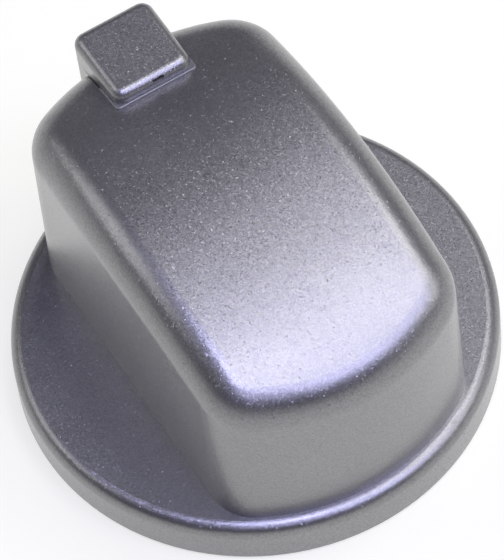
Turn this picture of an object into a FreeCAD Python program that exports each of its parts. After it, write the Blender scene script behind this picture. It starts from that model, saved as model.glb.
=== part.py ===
import FreeCAD, Part
import math
import os

from FreeCAD import Vector

# Oven control knob: a round skirt carrying a wide arched grip bar, with a square
# pointer clipped over the far end of the bar, and a split hub inside that pushes
# onto a D shaft. All lengths are in millimetres and all angles in degrees.
# The knob stands on the rim of its skirt. The origin is on the shaft axis in the
# plane of that rim, +Z points up along the axis and +Y points at the pointer.

# Skirt: the round flange
skirt_radius = 25.0          # at the rim
skirt_height = 5.1           # rim to flat top
skirt_taper = 0.05           # loss of radius from the rim to the shoulder
skirt_shoulder = 1.4         # rounding of the upper edge
skirt_wall = 2.0
skirt_plate = 2.0            # thickness of the flat top
skirt_inner_chamfer = 0.8    # inside corner under the flat top
rim_chamfer = 0.3

# Grip bar
grip_setback = 1.75          # rim of the skirt to the foot of the end walls
grip_width_share = 0.573     # width at the foot, as a share of the skirt's diameter
grip_draft = 0.15            # each wall comes in by this much from its foot to the apex
grip_corner = 5.1            # upright corners at the foot
grip_top_corner = 6.4        # and at the top
grip_barrel = 0.95           # fall of the long sides at the top, middle to end
grip_apex_height = 28.45
grip_arch_radius = 73.5      # of the roof, seen from the side
grip_arch_offset = 2.9       # the apex lies this far towards the pointer
grip_edge_round = 3.8        # round between the walls and the roof
grip_wall = 2.0
grip_roof = 2.2

# Pointer
pointer_width = 8.85
pointer_length = 9.4         # near face to outer face
pointer_overhang = 1.3       # the outer face stands this far outside the end wall
pointer_rise = 0.5           # apex of the roof to the pointer's flat top
pointer_corner = 1.3         # upright corners
pointer_edge = 1.0           # round along the top edge
pointer_sink = 1.45          # the limb outside the end wall is let into it by this much
pointer_skirt_gap = 0.3
foot_spread = 0.2            # thin foot round the pointer, lying on the roof
foot_height = 0.2
foot_corner = 0.5            # its upright corners
foot_round = 0.15            # its upper edge
foot_edge_gap = 0.6          # from the end of the foot to the round of the roof's edge
pointer_core_wall = 1.5      # walls left round the hollow under its top
pointer_core_roof = 1.8
notch_width = 1.25           # release notch in the near face
notch_height = 0.35
notch_depth = 0.7
notch_from_top = 0.3
notch_offset = 0.4

# Pocket in the grip for the pointer
pocket_clearance = 0.1       # each side of the pointer
pocket_depth = 4.5           # apex of the roof to the pocket's floor
pocket_wall = 1.6

# Snap legs of the pointer
leg_thickness = 1.3
leg_setback = 1.45           # near face of the pointer to the leg
leg_back_gap = 0.3           # leg to the wall behind the nose
leg_clearance = 0.15
hook_catch = 0.5
hook_height = 1.5
hook_clearance = 0.05

# Hub with the shaft bore
shaft_diameter = 6.0
shaft_flat_cut = 1.4         # taken off the round shaft by its flat
shaft_clearance = 0.05       # each side, in the D
lead_clearance = 0.3         # each side, in the round stretch at the mouth
hub_wall = 2.6               # from the shaft's round out
hub_setback = 0.6            # rim plane to the hub's mouth
mouth_chamfer = 0.4
lead_length = 6.0            # round stretch, from the mouth
bore_depth = 16.0
relief_step = 0.3            # the coring above the bore is this much smaller all round
relief_roof = 1.6            # left between the coring and the top of the grip's inside
slit_width = 1.2
slit_length = 11.0

# Spring band round the split hub
band_thickness = 0.6
band_height = 5.0
band_from_mouth = 1.4
band_groove = 0.3
band_gap_angle = 50.0
band_clearance = 0.05        # at each end of the groove

# Ribs
web_thickness = 1.4
web_hub_height = 13.5        # lower edge of a web where it leaves the hub
web_wall_height = 8.5        # and where it meets the end wall
gusset_thickness = 1.2
gusset_setback = 1.0         # rim plane to the lower edge of a gusset
gusset_angle = 30.0          # between neighbouring gussets
gussets_each_side = 3

# Sizes that follow from those above
grip_foot_reach = skirt_radius - grip_setback
grip_foot_width = 2 * skirt_radius * grip_width_share
grip_top_reach = grip_foot_reach - grip_draft
grip_top_width = grip_foot_width - 2 * grip_draft
pointer_reach = grip_foot_reach + pointer_overhang
pointer_near = pointer_reach - pointer_length
pointer_top_height = grip_apex_height + pointer_rise
pocket_floor_height = grip_apex_height - pocket_depth
hub_radius = shaft_diameter / 2 + hub_wall

BIG = 4.0 * skirt_radius     # length that reaches past everything
UP = Vector(0, 0, 1)


def box(x0, x1, y0, y1, z0, z1):
    """A block between two corners."""
    return Part.makeBox(x1 - x0, y1 - y0, z1 - z0, Vector(x0, y0, z0))


def turned(edges):
    """A solid of revolution from closed edges that lie in the XZ plane."""
    face = Part.Face(Part.Wire(edges))
    return face.revolve(Vector(0, 0, 0), UP, 360)


def line(a, b):
    """A straight edge."""
    return Part.makeLine(a, b)


def arc(a, middle, b):
    """An arc through three points."""
    return Part.Arc(a, middle, b).toShape()


def grip_outline(half_width, reach, corner, barrel, z):
    """Closed outline of the grip at height z.

    Two long sides, two ends that run round the shaft axis, and four corners
    tangent to both.
    """
    end_to_corner = reach - corner
    if barrel > 0:
        side_radius = (reach ** 2 + barrel ** 2) / (2 * barrel)
        side_centre = half_width - side_radius
        side_to_corner = side_radius - corner
        corner_x = (end_to_corner ** 2 - side_to_corner ** 2 + side_centre ** 2) / (2 * side_centre)
        corner_y = math.sqrt(end_to_corner ** 2 - corner_x ** 2)
        stretch = side_radius / side_to_corner
        side_x = side_centre + (corner_x - side_centre) * stretch
        side_y = corner_y * stretch
    else:
        corner_x = half_width - corner
        corner_y = math.sqrt(end_to_corner ** 2 - corner_x ** 2)
        side_x = half_width
        side_y = corner_y
    end_x = corner_x * reach / end_to_corner
    end_y = corner_y * reach / end_to_corner
    side_angle = math.atan2(side_y - corner_y, side_x - corner_x)
    end_angle = math.atan2(corner_y, corner_x)
    turn = (side_angle + end_angle) / 2
    turn_x = corner_x + corner * math.cos(turn)
    turn_y = corner_y + corner * math.sin(turn)

    def at(x, y):
        return Vector(x, y, z)

    def side(s):
        if barrel > 0:
            return arc(at(s * side_x, -s * side_y), at(s * half_width, 0), at(s * side_x, s * side_y))
        return line(at(s * side_x, -s * side_y), at(s * side_x, s * side_y))

    edges = []
    for s in (1, -1):
        edges.append(side(s))
        edges.append(arc(at(s * side_x, s * side_y), at(s * turn_x, s * turn_y), at(s * end_x, s * end_y)))
        edges.append(arc(at(s * end_x, s * end_y), at(0, s * reach), at(-s * end_x, s * end_y)))
        edges.append(arc(at(-s * end_x, s * end_y), at(-s * turn_x, s * turn_y), at(-s * side_x, s * side_y)))
    return Part.Wire(edges)


def arch(radius):
    """A cylinder lying across the knob, whose top is the arch of the roof."""
    return Part.makeCylinder(radius, BIG,
                             Vector(-BIG / 2, grip_arch_offset, grip_apex_height - grip_arch_radius),
                             Vector(1, 0, 0))


def grip_form(inset, roof):
    """The grip as a solid, with its walls moved in by inset and its roof down by roof."""
    foot = grip_outline(grip_foot_width / 2 - inset, grip_foot_reach - inset,
                        grip_corner - inset, 0, skirt_height)
    top = grip_outline(grip_top_width / 2 - inset, grip_top_reach - inset,
                       grip_top_corner - inset, grip_barrel, grip_apex_height)
    walls = Part.makeLoft([foot, top], True, True)
    return walls.common(arch(grip_arch_radius - roof))


def roof_edges(solid, radius):
    """Edges where a roof with this arch radius meets the walls."""
    found = []
    centre_z = grip_apex_height - grip_arch_radius
    for edge in solid.Edges:
        points = edge.discretize(3)
        off = [abs(math.hypot(p.y - grip_arch_offset, p.z - centre_z) - radius) for p in points]
        if max(off) < 0.001:
            found.append(edge)
    return found


def skirt_form():
    """Solid skirt with its rounded shoulder and a small chamfer at the rim."""
    top_radius = skirt_radius - skirt_taper
    shoulder_z = skirt_height - skirt_shoulder
    diagonal = skirt_shoulder * math.sqrt(0.5)
    p = [Vector(0, 0, 0),
         Vector(skirt_radius - rim_chamfer, 0, 0),
         Vector(skirt_radius, 0, rim_chamfer),
         Vector(top_radius, 0, shoulder_z),
         Vector(top_radius - skirt_shoulder, 0, skirt_height),
         Vector(0, 0, skirt_height)]
    middle = Vector(top_radius - skirt_shoulder + diagonal, 0, shoulder_z + diagonal)
    edges = [line(p[0], p[1]), line(p[1], p[2]), line(p[2], p[3]), arc(p[3], middle, p[4]),
             line(p[4], p[5]), line(p[5], p[0])]
    return turned(edges)


def skirt_hollow():
    """Space under the flat top of the skirt."""
    inner = skirt_radius - skirt_wall
    ceiling = skirt_height - skirt_plate
    p = [Vector(0, 0, -1),
         Vector(inner, 0, -1),
         Vector(inner, 0, ceiling - skirt_inner_chamfer),
         Vector(inner - skirt_inner_chamfer, 0, ceiling),
         Vector(0, 0, ceiling)]
    return turned([line(a, b) for a, b in zip(p, p[1:] + p[:1])])


# Places shared by the pocket and the pointer
pointer_half = pointer_width / 2
pocket_half = pointer_half + pocket_clearance
pocket_near = pointer_near - pocket_clearance
nose_back = grip_foot_reach - pointer_sink
pocket_back = nose_back - pocket_clearance
leg_inner = pointer_half - pointer_core_wall
leg_y0 = pointer_near + leg_setback
leg_y1 = pocket_back - pocket_wall - leg_back_gap
hook_top = pocket_floor_height - pocket_wall - hook_clearance

# Places shared by the hub and the band
bore_radius = shaft_diameter / 2 + shaft_clearance
lead_radius = shaft_diameter / 2 + lead_clearance
flat_y = -(shaft_diameter / 2 - shaft_flat_cut + shaft_clearance)
bore_top = hub_setback + bore_depth
groove_radius = hub_radius - band_groove
groove_z0 = hub_setback + band_from_mouth
band_z0 = groove_z0 + band_clearance


def grip_hollow():
    """Inside of the grip, open below, with the pocket's walls left standing."""
    below = grip_outline(grip_foot_width / 2 - grip_wall, grip_foot_reach - grip_wall,
                         grip_corner - grip_wall, 0, skirt_height)
    lower = Part.Face(below).extrude(Vector(0, 0, -skirt_height - 1))
    upper = grip_form(grip_wall, grip_roof)
    upper = upper.makeFillet(grip_edge_round - grip_wall, roof_edges(upper, grip_arch_radius - grip_roof))
    hollow = upper.fuse(lower)
    side = pocket_half + pocket_wall
    seat = box(-side, side, pocket_near - pocket_wall, BIG, pocket_floor_height - pocket_wall, BIG)
    back = box(-side, side, pocket_back - pocket_wall, BIG, skirt_height - skirt_plate, BIG)
    return hollow.cut(seat.fuse(back))


def upright_edges(solid, x, y):
    """Vertical edges of a solid at a plan position, on both sides of the YZ plane."""
    found = []
    for edge in solid.Edges:
        a = edge.firstVertex().Point
        b = edge.lastVertex().Point
        upright = abs(a.x - b.x) < 0.001 and abs(a.y - b.y) < 0.001
        if upright and abs(abs(a.x) - x) < 0.001 and abs(a.y - y) < 0.001:
            found.append(edge)
    return found


def pointer_pocket():
    """Recess for the pointer in the roof and down the end wall, with the two leg holes."""
    seat = box(-pocket_half, pocket_half, pocket_near, BIG, pocket_floor_height, BIG)
    seat = seat.makeFillet(pointer_corner + pocket_clearance, upright_edges(seat, pocket_half, pocket_near))
    back = box(-pocket_half, pocket_half, pocket_back, BIG, skirt_height, BIG)
    pocket = seat.fuse(back)
    for s in (-1, 1):
        x0 = leg_inner - leg_clearance
        x1 = leg_inner + leg_thickness + leg_clearance
        hole = box(min(s * x0, s * x1), max(s * x0, s * x1), leg_y0 - leg_clearance, leg_y1 + leg_clearance,
                   pocket_floor_height - pocket_wall - 1, pocket_floor_height + 1)
        pocket = pocket.fuse(hole)
    return pocket


def hub():
    """Round hub with its coring, webs to the four walls and the groove for the band."""
    post = Part.makeCylinder(hub_radius, BIG, Vector(0, 0, hub_setback))
    ring = Part.makeCylinder(hub_radius + 1, band_height + 2 * band_clearance, Vector(0, 0, groove_z0))
    ring = ring.cut(Part.makeCylinder(groove_radius, BIG, Vector(0, 0, -1)))
    solid = post.cut(ring)
    far = grip_foot_reach
    for turn in (0, 90, 180, 270):
        corners = [Vector(0, 0, web_hub_height), Vector(hub_radius, 0, web_hub_height),
                   Vector(far, 0, web_wall_height), Vector(far, 0, BIG), Vector(0, 0, BIG)]
        web = Part.Face(Part.makePolygon(corners + corners[:1])).extrude(Vector(0, web_thickness, 0))
        web.translate(Vector(0, -web_thickness / 2, 0))
        web.rotate(Vector(0, 0, 0), UP, turn)
        solid = solid.fuse(web)
    return solid


def dee(radius, flat, z0, z1):
    """A D-shaped bar: a round one with the side below y = flat cut away."""
    bar = Part.makeCylinder(radius, z1 - z0, Vector(0, 0, z0))
    return bar.cut(box(-BIG, BIG, -BIG, flat, z0, z1))


def shaft_hole():
    """Bore for the shaft: a round stretch at the mouth, a D above it, and a coring above that."""
    mouth = Part.makeCone(lead_radius + mouth_chamfer, lead_radius, mouth_chamfer, Vector(0, 0, hub_setback))
    plain = Part.makeCylinder(lead_radius, lead_length, Vector(0, 0, hub_setback))
    keyed = dee(bore_radius, flat_y, hub_setback, bore_top)
    relief_top = grip_apex_height - grip_roof - relief_roof
    relief = dee(bore_radius - relief_step, flat_y + relief_step, hub_setback, relief_top)
    slits = box(-hub_radius - 1, hub_radius + 1, -slit_width / 2, slit_width / 2,
                hub_setback - 1, hub_setback + slit_length)
    return keyed.fuse([mouth, plain, relief, slits])


def gussets():
    """Short ribs under the flat top of the skirt, beside the two long walls of the grip."""
    ribs = []
    inner = grip_foot_width / 2 - grip_wall
    middle = (gussets_each_side - 1) / 2
    for base in (0, 180):
        for k in range(gussets_each_side):
            rib = box(0, skirt_radius - skirt_wall / 2, -gusset_thickness / 2, gusset_thickness / 2,
                      gusset_setback, skirt_height - skirt_plate / 2)
            rib.rotate(Vector(0, 0, 0), UP, base + (k - middle) * gusset_angle)
            ribs.append(rib)
    clear = box(-inner, inner, -BIG, BIG, -1, skirt_height)
    return ribs[0].fuse(ribs[1:]).cut(clear)


def knob_body():
    """The one moulding: skirt, hollow grip, hub, webs and gussets."""
    grip = grip_form(0, 0)
    grip = grip.makeFillet(grip_edge_round, roof_edges(grip, grip_arch_radius))
    outside = skirt_form().fuse(grip)
    shell = outside.cut(skirt_hollow()).cut(grip_hollow())
    inner_parts = hub().fuse(gussets()).common(outside)
    solid = shell.fuse(inner_parts)
    solid = solid.cut(shaft_hole()).cut(pointer_pocket())
    return solid.removeSplitter()


def pointer_block():
    """Pointer: a square cap on the roof, a nose down the end wall and two snap legs."""
    cap = box(-pointer_half, pointer_half, pointer_near, pointer_reach,
              pocket_floor_height, pointer_top_height)
    nose = box(-pointer_half, pointer_half, nose_back, pointer_reach,
               skirt_height + pointer_skirt_gap, pocket_floor_height + 1)
    solid = cap.fuse(nose).removeSplitter()
    corners = upright_edges(solid, pointer_half, pointer_near)
    corners += upright_edges(solid, pointer_half, pointer_reach)
    solid = solid.makeFillet(pointer_corner, corners)
    rim = [e for e in solid.Edges if min(v.Z for v in e.Vertexes) > pointer_top_height - 0.001]
    solid = solid.makeFillet(pointer_edge, rim)
    core = box(-leg_inner, leg_inner, pointer_near + pointer_core_wall, nose_back,
               pocket_floor_height - 1, pointer_top_height - pointer_core_roof)
    solid = solid.cut(core)
    for s in (-1, 1):
        solid = solid.fuse(snap_leg(s))
    solid = solid.fuse(pointer_foot())
    notch_top = pointer_top_height - notch_from_top
    notch = box(notch_offset - notch_width / 2, notch_offset + notch_width / 2,
                pointer_near - 1, pointer_near + notch_depth, notch_top - notch_height, notch_top)
    return solid.cut(notch).removeSplitter()


def pointer_foot():
    """Thin foot that spreads from the pointer's near face and sides over the arched roof."""
    side = pointer_half + foot_spread
    near = pointer_near - foot_spread
    end = grip_top_reach - grip_edge_round - foot_edge_gap
    block = box(-side, side, near, end, pocket_floor_height, BIG)
    block = block.makeFillet(foot_corner, upright_edges(block, side, near))
    radius = grip_arch_radius + foot_height
    foot = block.common(arch(radius).cut(arch(grip_arch_radius)))
    rim = [e for e in roof_edges(foot, radius) if e.BoundBox.YMin < end - 0.001]
    return foot.makeFillet(foot_round, rim)


def snap_leg(s):
    """One leg with its hook, on side s of the pointer."""
    inner = s * leg_inner
    outer = s * (leg_inner + leg_thickness)
    catch = s * (leg_inner + leg_thickness + hook_catch)
    foot = hook_top - hook_height
    corners = [Vector(inner, leg_y0, pocket_floor_height + 1), Vector(outer, leg_y0, pocket_floor_height + 1),
               Vector(outer, leg_y0, hook_top), Vector(catch, leg_y0, hook_top),
               Vector(outer, leg_y0, foot), Vector(inner, leg_y0, foot)]
    return Part.Face(Part.makePolygon(corners + corners[:1])).extrude(Vector(0, leg_y1 - leg_y0, 0))


def hub_band():
    """Open spring band that sits in the groove round the hub."""
    outer = Part.makeCylinder(groove_radius + band_thickness, band_height, Vector(0, 0, band_z0))
    band = outer.cut(Part.makeCylinder(groove_radius, BIG, Vector(0, 0, -1)))
    half_gap = math.radians(band_gap_angle / 2)
    reach = 2 * hub_radius
    corners = [Vector(0, 0, -1), Vector(reach * math.sin(half_gap), reach * math.cos(half_gap), -1),
               Vector(-reach * math.sin(half_gap), reach * math.cos(half_gap), -1)]
    wedge = Part.Face(Part.makePolygon(corners + corners[:1])).extrude(Vector(0, 0, BIG))
    return band.cut(wedge)


def report(name, shape):
    """Print what was made."""
    b = shape.optimalBoundingBox()
    print(f"{name}: {len(shape.Solids)} solid, valid {shape.isValid()}, {shape.Volume:.1f} mm3, "
          f"{b.XLength:.2f} x {b.YLength:.2f} x {b.ZLength:.2f} mm, z {b.ZMin:.2f} to {b.ZMax:.2f}")


os.makedirs("parts", exist_ok=True)
pieces = {"knob_body": knob_body(), "pointer_block": pointer_block(), "hub_band": hub_band()}
for name, shape in pieces.items():
    report(name, shape)
    shape.exportStep(f"parts/{name}.step")
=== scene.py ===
# %% [markdown]
# # A painted oven knob
#
# The knob is a plastic moulding sprayed silver-grey: a round skirt, a wide grip bar with an
# arched roof, and a square pointer clipped over the far end. The solids come from CAD, so
# this lesson is about the looks: a metal-flake paint, the bare plastic inside, a spring of
# rolled steel, and the soft light that such paint needs. We load the solids first. Blender
# counts in metres, so small sizes are written as so many times MM.

# %% Load the solids
import math

import bpy
from mathutils import Matrix, Vector

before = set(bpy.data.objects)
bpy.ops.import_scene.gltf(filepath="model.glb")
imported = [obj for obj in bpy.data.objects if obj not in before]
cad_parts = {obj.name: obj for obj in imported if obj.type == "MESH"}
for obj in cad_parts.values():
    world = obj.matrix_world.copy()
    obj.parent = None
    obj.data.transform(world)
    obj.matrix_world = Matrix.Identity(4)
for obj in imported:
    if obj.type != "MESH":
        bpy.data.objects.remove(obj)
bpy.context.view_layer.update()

MM = 0.001
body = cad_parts["knob_body"]
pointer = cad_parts["pointer_block"]
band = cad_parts["hub_band"]


def in_mm(points):
    """Points in millimetres, rounded for printing."""
    return [[round(value / MM, 1) for value in point] for point in points]


# %% [markdown]
# ## Where the camera stands
#
# The picture is taken with a long lens from high on the plain side, with the pointer far
# away. A camera can be placed by eye, by a track-to constraint, or from its own measured
# angles. We use measured angles: the turn round the knob, the height above the table, the
# distance and a small roll of the camera in the hand. Each is one named value, and the
# three axes of the camera follow from them.

# %% Camera
camera_turn = math.radians(24.87)     # from straight in front, towards the left
camera_rise = math.radians(57.74)     # above the table
camera_roll = math.radians(-7.84)
camera_distance = 373.6 * MM
camera_aim = Vector((3.44, 6.65, 0.0)) * MM
camera_lens = 231.4                   # mm
sensor_width = 36                     # mm
nearest_seen, farthest_seen = 0.01, 20

back = Vector((-math.cos(camera_rise) * math.sin(camera_turn),
               -math.cos(camera_rise) * math.cos(camera_turn),
               math.sin(camera_rise)))
level = Vector((math.cos(camera_turn), -math.sin(camera_turn), 0))
upward = back.cross(level)
right = math.cos(camera_roll) * level + math.sin(camera_roll) * upward
top = back.cross(right)

camera = bpy.data.objects.new("camera", bpy.data.cameras.new("camera"))
camera.data.lens = camera_lens
camera.data.sensor_width = sensor_width
camera.data.clip_start = nearest_seen
camera.data.clip_end = farthest_seen
camera.matrix_world = Matrix((right, top, back)).transposed().to_4x4()
camera.location = camera_aim + camera_distance * back
bpy.context.scene.collection.objects.link(camera)
bpy.context.scene.camera = camera
print("camera at mm:", in_mm([camera.location]))

# %% [markdown]
# ## Small helpers for shader nodes
#
# A material is a small machine of nodes. It can be wired by hand in the shader editor, but
# recipes in code are easier to read again and to share between pieces. Four helpers keep
# them short: one starts an empty material, one adds a node with its settings, one does a
# step of arithmetic, and one does a step with vectors. We try the arithmetic on a throwaway
# material at once, because a mistake here would spoil every recipe that follows.


# %% Node helpers
def new_material(name):
    """An empty node material and its tree."""
    material = bpy.data.materials.new(name)
    material.use_nodes = True
    material.node_tree.nodes.clear()
    return material, material.node_tree


def add(tree, kind, inputs=None, **settings):
    """A node with its settings; each input takes a value or another node's output."""
    node = tree.nodes.new(kind)
    for key, value in settings.items():
        setattr(node, key, value)
    for key, value in (inputs or {}).items():
        if isinstance(value, bpy.types.NodeSocket):
            tree.links.new(value, node.inputs[key])
        else:
            node.inputs[key].default_value = value
    return node


def calc(tree, operation, *values):
    """One step of arithmetic on values or outputs."""
    return add(tree, "ShaderNodeMath", dict(enumerate(values)), operation=operation).outputs[0]


def combine(tree, operation, *values):
    """One step of arithmetic on vectors or outputs."""
    return add(tree, "ShaderNodeVectorMath", dict(enumerate(values)), operation=operation).outputs[0]


trial, tree = new_material("trial")
calc(tree, "ADD", calc(tree, "MULTIPLY", 2.0, 3.0), 1.0)
print("nodes for 2 x 3 + 1:", len(tree.nodes), "links:", len(tree.links))
bpy.data.materials.remove(trial)

# %% [markdown]
# ## Patterns and places
#
# Every finish here starts from the same few things: the point's own place on the piece, a
# cloudy noise, and the middle part of that noise stretched to the range we want. The place
# is the object's own coordinate, so a pattern stays where it is when the view changes.


# %% Pattern helpers
cloud_middle = (0.3, 0.7)             # nearly all of a noise lies between these


def own_place(tree):
    """The point's own place on the piece, in metres."""
    return add(tree, "ShaderNodeTexCoord").outputs["Object"]


def scaled(tree, vector, factor):
    """A vector made so many times longer."""
    return add(tree, "ShaderNodeVectorMath", {0: vector, "Scale": factor}, operation="SCALE").outputs[0]


def noise(tree, place, per_metre, detail):
    """A cloudy pattern between 0 and 1, with about so many clouds to the metre."""
    return add(tree, "ShaderNodeTexNoise", {"Vector": place, "Scale": per_metre, "Detail": detail}).outputs[0]


def stretched(tree, pattern, lowest, highest):
    """The middle part of a pattern, stretched to run between two values."""
    return add(tree, "ShaderNodeMapRange",
               {"Value": pattern, "From Min": cloud_middle[0], "From Max": cloud_middle[1],
                "To Min": lowest, "To Max": highest}).outputs[0]


def mixed_colour(tree, pattern, first, second):
    """Two colours, mixed by a pattern."""
    return add(tree, "ShaderNodeMix", {"Factor": pattern, "A": (*first, 1), "B": (*second, 1)},
               data_type="RGBA").outputs["Result"]


print("a noise is stretched from", cloud_middle)

# %% [markdown]
# ## Metal-flake paint
#
# The paint holds thin aluminium flakes in a clear lacquer. Most flakes lie almost flat, so
# the paint mirrors its surroundings softly, and a few stand up and catch a lamp that their
# neighbours miss: those are the sparkles on the dark sides. We build it from the flake up.
# A cell pattern about as fine as the eye can separate gives each flake its own tilt and
# tone, a high power of the same random number makes the few steep ones, and a slow cloud
# varies how evenly the gun laid the coat. The lacquer lies straight over all of them.

# %% Flake paint
paint_tone = (0.283, 0.279, 0.281)
darkest_flake, lightest_flake = 0.86, 1.16    # times the tone
flake_size = 0.13 * MM
flake_tilt = 0.06
steep_tilt = 0.45                     # how much further a steep flake tips
steep_power = 8                       # the higher the power, the fewer steep flakes
flake_roughness, roughness_drift = 0.40, 0.03
lacquer_roughness = 0.25
coats_per_metre = 90                  # how fast the gun's work varies


def flake_paint(tree):
    """Shader of the paint: flakes that tip and differ in tone, under a clear lacquer."""
    place = own_place(tree)
    flakes = add(tree, "ShaderNodeTexVoronoi", {"Vector": place, "Scale": 1 / flake_size}).outputs["Color"]
    chance = add(tree, "ShaderNodeSeparateColor", {0: flakes}).outputs
    reach = calc(tree, "MULTIPLY_ADD", calc(tree, "POWER", chance[2], steep_power), steep_tilt, flake_tilt)
    tip = scaled(tree, combine(tree, "SUBTRACT", flakes, (0.5, 0.5, 0.5)), reach)
    straight = add(tree, "ShaderNodeNewGeometry").outputs["Normal"]
    tipped = combine(tree, "NORMALIZE", combine(tree, "ADD", straight, tip))
    dark, light = [[c * times for c in paint_tone] for times in (darkest_flake, lightest_flake)]
    rough = stretched(tree, noise(tree, place, coats_per_metre, 3.0),
                      flake_roughness - roughness_drift, flake_roughness + roughness_drift)
    return add(tree, "ShaderNodeBsdfPrincipled",
               {"Base Color": mixed_colour(tree, chance[0], dark, light), "Roughness": rough,
                "Metallic": 0.85, "Normal": tipped, "Coat Weight": 1.0, "Coat IOR": 1.5,
                "Coat Roughness": lacquer_roughness, "Coat Normal": straight}).outputs[0]


print("flakes per square mm:", round((MM / flake_size) ** 2), "paint tone:", paint_tone)

# %% [markdown]
# ## Bare plastic
#
# Knobs like this are sprayed on a rack, so the inside keeps the colour of the plastic: here
# a mid grey with a satin, slightly uneven skin from the mould. A plain grey would look like
# nothing at all, so a very fine noise lifts the skin by a few hundredths of a millimetre.

# %% Bare plastic
plastic_tone = (0.115, 0.115, 0.12)
skin_per_metre = 9000
skin_height = 0.02 * MM


def moulded_plastic(tree):
    """Shader of bare moulded plastic."""
    skin = noise(tree, own_place(tree), skin_per_metre, 2.0)
    bump = add(tree, "ShaderNodeBump", {"Height": skin, "Strength": 0.15, "Distance": skin_height}).outputs[0]
    return add(tree, "ShaderNodeBsdfPrincipled",
               {"Base Color": (*plastic_tone, 1), "Roughness": 0.42, "Normal": bump}).outputs[0]


def bare_where(tree, mask, paint):
    """Paint and bare plastic, mixed by a mask that is 1 where the plastic shows."""
    mixed = add(tree, "ShaderNodeMixShader", {0: mask, 1: paint, 2: moulded_plastic(tree)})
    add(tree, "ShaderNodeOutputMaterial", {"Surface": mixed.outputs[0]})


def dress(piece, material):
    """Give a piece its finish."""
    piece.data.materials.clear()
    piece.data.materials.append(material)
    print(piece.name, "is finished in", material.name, "with", len(material.node_tree.nodes), "nodes")


print("plastic tone:", plastic_tone, "skin grain in mm:", round(1 / skin_per_metre / MM, 2))

# %% [markdown]
# ## Where the spray ends
#
# A moulding has no line to tell inside from outside, but a depth does: how far a point lies
# under the outer form. The masks below are all steps in such a depth or height. Paint never
# stops in a sharp line, so each step is soft, and a fine mist of noise frays it.

# %% Spray edge
spray_reach = 1.6                     # mm, how deep the spray gets past an edge
spray_fray = 0.2                      # mm, how soft its edge is
mist_per_metre = 900


def axes_in_mm(tree, place):
    """The point's x, y and z in millimetres."""
    return add(tree, "ShaderNodeSeparateXYZ", {0: scaled(tree, place, 1 / MM)}).outputs


def length_of(tree, *parts):
    """The length of the vector that has these parts."""
    vector = add(tree, "ShaderNodeCombineXYZ", dict(enumerate(parts))).outputs[0]
    return add(tree, "ShaderNodeVectorMath", {0: vector}, operation="LENGTH").outputs["Value"]


def above(tree, value, limit, soft, under=0.0, over=1.0):
    """One value under a limit and another over it, with a soft step between them."""
    return add(tree, "ShaderNodeMapRange",
               {"Value": value, "From Min": limit - soft, "From Max": limit + soft,
                "To Min": under, "To Max": over}, interpolation_type="SMOOTHSTEP").outputs[0]


def below(tree, value, limit, soft):
    """1 below a limit and 0 above it, with a soft step."""
    return above(tree, value, limit, soft, under=1.0, over=0.0)


def misted(tree, value, place):
    """A depth or height in millimetres, frayed by up to half a millimetre either way."""
    return calc(tree, "ADD", value, calc(tree, "SUBTRACT", noise(tree, place, mist_per_metre, 3.0), 0.5))


print("spray reaches", spray_reach, "mm, give or take", spray_fray)

# %% [markdown]
# ## The outer form of the grip
#
# To know how deep a point lies, we write down the form that the grip's outside follows: two
# slightly barrelled sides, end walls that run round the axis, and a roof that is an arch
# across the middle. Where they meet, the edge is rounded. Near an edge we take what each
# face's depth lacks to the full rounding, and the length of the vector made of these is the
# rounded distance. The mask could be painted on the mesh by hand, but it would be lost as
# soon as the shape changes.

# %% Outer form
grip_half = 14.2                      # mm, half the width of the grip near the roof
barrel = 6.26e-5                      # how fast its sides draw in towards the ends and the top
end_radius = 23.1                     # mm, of the end walls round the axis
roof_top = 28.45                      # mm, the highest line of the arch
roof_radius = 73.5                    # mm, of the arch
roof_middle = 2.9                     # mm, how far its highest line lies towards the pointer
round_over = 3.8                      # mm, the rounding of the grip's edges


def from_arch_centre(tree, y, z):
    """How far a point lies from the centre line of the roof's arch."""
    centre_height = roof_top - roof_radius
    return length_of(tree, calc(tree, "SUBTRACT", y, roof_middle), calc(tree, "SUBTRACT", z, centre_height))


def depth_in_grip(tree, x, y, z):
    """How deep a point lies under the outer form of the grip."""
    drawn_in = calc(tree, "MULTIPLY", calc(tree, "MULTIPLY", y, y), calc(tree, "MULTIPLY", z, barrel))
    side = calc(tree, "SUBTRACT", grip_half, calc(tree, "ADD", drawn_in, calc(tree, "ABSOLUTE", x)))
    roof = calc(tree, "SUBTRACT", roof_radius, from_arch_centre(tree, y, z))
    end = calc(tree, "SUBTRACT", end_radius, length_of(tree, x, y))
    missing = [calc(tree, "MAXIMUM", calc(tree, "SUBTRACT", round_over, depth), 0.0)
               for depth in (side, roof, end)]
    return calc(tree, "SUBTRACT", round_over, length_of(tree, *missing))


print("roof", roof_top, "mm high, edges rounded", round_over, "mm")

# %% [markdown]
# ## The painted body
#
# The body is painted outside and bare inside the grip and under the skirt. The first mask is
# the depth in the grip. Under the skirt the spray reaches the outer part of the rim only, so
# the second mask asks for a place nearer to the axis than that and below the skirt's top.

# %% Body paint
rim_paint_ends = 24.0                 # mm from the axis
skirt_paint_ends = 4.1                # mm above the table

silver_paint, tree = new_material("silver_paint")
place = own_place(tree)
x, y, z = axes_in_mm(tree, place)
in_grip = above(tree, misted(tree, depth_in_grip(tree, x, y, z), place), spray_reach, spray_fray)
in_rim = below(tree, misted(tree, length_of(tree, x, y), place), rim_paint_ends, spray_fray)
in_skirt = calc(tree, "MULTIPLY", in_rim, below(tree, z, skirt_paint_ends, 0.1))
bare_where(tree, calc(tree, "MAXIMUM", in_grip, in_skirt), flake_paint(tree))
dress(body, silver_paint)

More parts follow.
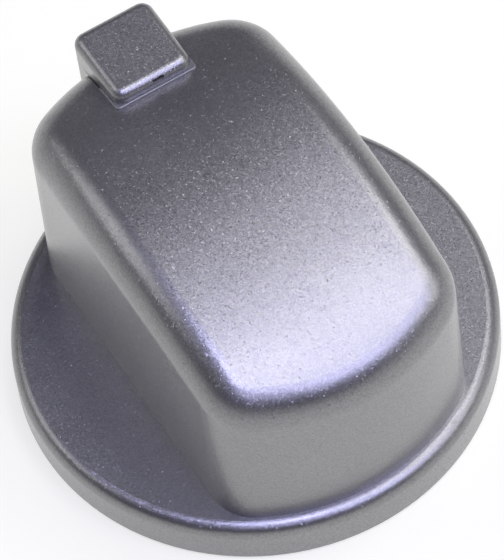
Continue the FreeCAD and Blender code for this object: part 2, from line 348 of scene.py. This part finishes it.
# %% [markdown]
# ## The painted pointer
#
# The pointer is sprayed before it is clipped in. Its legs and the inner side of its nose sit
# in the body and stay bare, so its mask is simpler: below the roof and behind the end wall.
# In the crease at its foot the paint pools and dries duller, which shows as a thin pale
# line. We give that line a plainer, rougher metal without the clear coat.

# %% Pointer paint
roof_paint_ends = 23.8                # mm above the table, the paint of the cap ends below this
wall_paint_ends = 21.6                # mm from the axis, the paint of the nose ends inside this
crease_height = 0.22                  # mm above the roof
nose_top = 26.0                       # mm above the table, there is no crease below this

pointer_paint, tree = new_material("pointer_paint")
place = own_place(tree)
x, y, z = axes_in_mm(tree, place)
at_foot = below(tree, from_arch_centre(tree, y, z), roof_radius + crease_height, 0.03)
in_crease = calc(tree, "MULTIPLY", at_foot, above(tree, z, nose_top, 0.2))
pooled = add(tree, "ShaderNodeBsdfPrincipled",
             {"Base Color": (0.27, 0.27, 0.275, 1), "Roughness": 0.48, "Metallic": 0.6})
paint = add(tree, "ShaderNodeMixShader", {0: in_crease, 1: flake_paint(tree), 2: pooled.outputs[0]})
below_roof = below(tree, misted(tree, z, place), roof_paint_ends, spray_fray)
behind_wall = below(tree, misted(tree, y, place), wall_paint_ends, spray_fray)
bare_where(tree, calc(tree, "MULTIPLY", below_roof, behind_wall), paint.outputs[0])
dress(pointer, pointer_paint)

# %% [markdown]
# ## The spring band
#
# The band that grips the hub is rolled spring steel. Rolling leaves fine lines along the
# strip, so its tone, roughness and bump come from one noise that is stretched round the hub
# and squeezed along the axis. A brushed look could also come from the shader's anisotropy,
# but real lines in the bump hold up better when someone looks close.

# %% Spring steel
lines_per_metre = (200.0, 200.0, 6000.0)      # few round the hub, many along the axis
smoothest, roughest = 0.22, 0.38
line_height = 0.02 * MM

spring_steel, tree = new_material("spring_steel")
lines = noise(tree, combine(tree, "MULTIPLY", own_place(tree), lines_per_metre), 1.0, 4.0)
rolled = add(tree, "ShaderNodeBump", {"Height": lines, "Strength": 0.2, "Distance": line_height}).outputs[0]
steel = add(tree, "ShaderNodeBsdfPrincipled",
            {"Base Color": mixed_colour(tree, lines, (0.46, 0.46, 0.455), (0.60, 0.59, 0.575)),
             "Roughness": stretched(tree, lines, smoothest, roughest), "Metallic": 1.0, "Normal": rolled})
add(tree, "ShaderNodeOutputMaterial", {"Surface": steel.outputs[0]})
dress(band, spring_steel)

# %% [markdown]
# ## The table
#
# The knob lies on a large white sheet. A box or a studio cove would do, but one flat square
# is enough, because the background takes over where it ends. Colours are shown as they are,
# without a film curve, so the view transform is Standard.

# %% Floor
bpy.context.scene.view_settings.view_transform = "Standard"

floor_half = 1.5
corners = [(x * floor_half, y * floor_half, 0) for x, y in ((-1, -1), (1, -1), (1, 1), (-1, 1))]
floor_mesh = bpy.data.meshes.new("floor")
floor_mesh.from_pydata(corners, [], [(0, 1, 2, 3)])
floor = bpy.data.objects.new("floor", floor_mesh)
bpy.context.scene.collection.objects.link(floor)
print("floor is", 2 * floor_half, "m wide")

# %% [markdown]
# ## White paper
#
# The sheet shows as almost pure white. A floor lit to that level by lamps alone would flood
# the paint with light from below, so part of the white is a glow that only the camera and
# reflections see. The rest is plain paper under the lamps, and that part keeps the knob's
# soft shadow. The paper is a little warm, because the lamps are a little cool.

# %% White paper
mirrored_share = 0.85                 # a mirrored sheet is a little dimmer than one seen directly
paper_tone = (0.43, 0.43, 0.34, 1)
paper_glow = 0.64


def shown_white(tree, mirrored):
    """1 for rays from the camera or through clear glass, less for reflections, 0 for the rest."""
    path = add(tree, "ShaderNodeLightPath").outputs
    direct = calc(tree, "MAXIMUM", path["Is Camera Ray"], path["Is Transmission Ray"])
    return calc(tree, "MAXIMUM", direct, calc(tree, "MULTIPLY", path["Is Glossy Ray"], mirrored))


white_paper, tree = new_material("white_paper")
paper = add(tree, "ShaderNodeBsdfDiffuse", {"Color": paper_tone})
strength = calc(tree, "MULTIPLY", shown_white(tree, mirrored_share), paper_glow)
glow = add(tree, "ShaderNodeEmission", {"Strength": strength})
both = add(tree, "ShaderNodeAddShader", {0: paper.outputs[0], 1: glow.outputs[0]})
add(tree, "ShaderNodeOutputMaterial", {"Surface": both.outputs[0]})
floor.data.materials.append(white_paper)
print("paper tone:", paper_tone, "glow:", paper_glow)

# %% [markdown]
# ## Studio light
#
# A flake paint shows each lamp as a broad, soft glow, so the places of the lamps can be
# read from the paint. The bright field on the roof mirrors a point almost straight
# overhead, the skirt's shoulder glows on its near and right sides, and the pointer's left
# face mirrors something behind it. We set nine square soft lamps at those places, all at
# the same distance, with powers in round steps. The three on the near side have the cool
# tint of daylight and the rest are white. One small lamp makes the core of the highlight.

# %% Lamps
lamp_distance = 0.8
daylight = (0.60, 0.60, 1.00)
lamps = []


def softbox(name, azimuth, elevation, size, power, tint=(1, 1, 1)):
    """A square lamp that faces the knob; azimuth 0 is over the pointer and 90 to its right."""
    lamp = bpy.data.lights.new(name, "AREA")
    lamp.shape = "SQUARE"
    lamp.size = size
    lamp.energy = power
    lamp.color = tint
    light = bpy.data.objects.new(name, lamp)
    a, e = math.radians(azimuth), math.radians(elevation)
    away = Vector((math.sin(a) * math.cos(e), math.cos(a) * math.cos(e), math.sin(e)))
    light.location = away * lamp_distance
    light.rotation_euler = away.to_track_quat("Z", "Y").to_euler()
    bpy.context.scene.collection.objects.link(light)
    lamps.append(lamp)


softbox("overhead", 205, 84, 0.20, 2.0, daylight)
softbox("near_left", 205, 60, 0.25, 0.6, daylight)
softbox("near_right", 150, 60, 0.30, 1.6, daylight)
softbox("right_of_top", 98, 77, 0.22, 0.3)
softbox("white_core", 110, 77, 0.08, 0.2)
softbox("right_high", 90, 60, 0.30, 0.9)
softbox("right_low", 120, 40, 0.40, 1.0)
softbox("far_right", 60, 60, 0.30, 0.6)
softbox("back_left", 315, 45, 0.40, 0.9)
print(len(lamps), "lamps,", round(sum(lamp.energy for lamp in lamps), 2), "W in all")

# %% [markdown]
# ## The sky of the studio
#
# Behind the table the white sheet curves up. The camera and clear glass see white all
# over. Reflections see the same white near the horizon, up to where the sheet ends, and the
# dark room above it. A picture could be wrapped round the scene, but a step in the world's
# own nodes does the same and stays plain.

# %% Background
sheet_top = math.sin(math.radians(15))
room_level = 0.02

world = bpy.data.worlds.new("studio")
bpy.context.scene.world = world
world.use_nodes = True
tree = world.node_tree
tree.nodes.clear()
direction = add(tree, "ShaderNodeTexCoord").outputs["Generated"]
height = add(tree, "ShaderNodeSeparateXYZ", {0: direction}).outputs["Z"]
mirrored = above(tree, height, sheet_top, 0.04, under=mirrored_share, over=0.0)
white_level = calc(tree, "MAXIMUM", shown_white(tree, mirrored), room_level)
sky = add(tree, "ShaderNodeBackground", {"Strength": white_level})
add(tree, "ShaderNodeOutputWorld", {"Surface": sky.outputs[0]})
print("white sheet up to", round(sheet_top, 2), "of full height, room at", room_level)
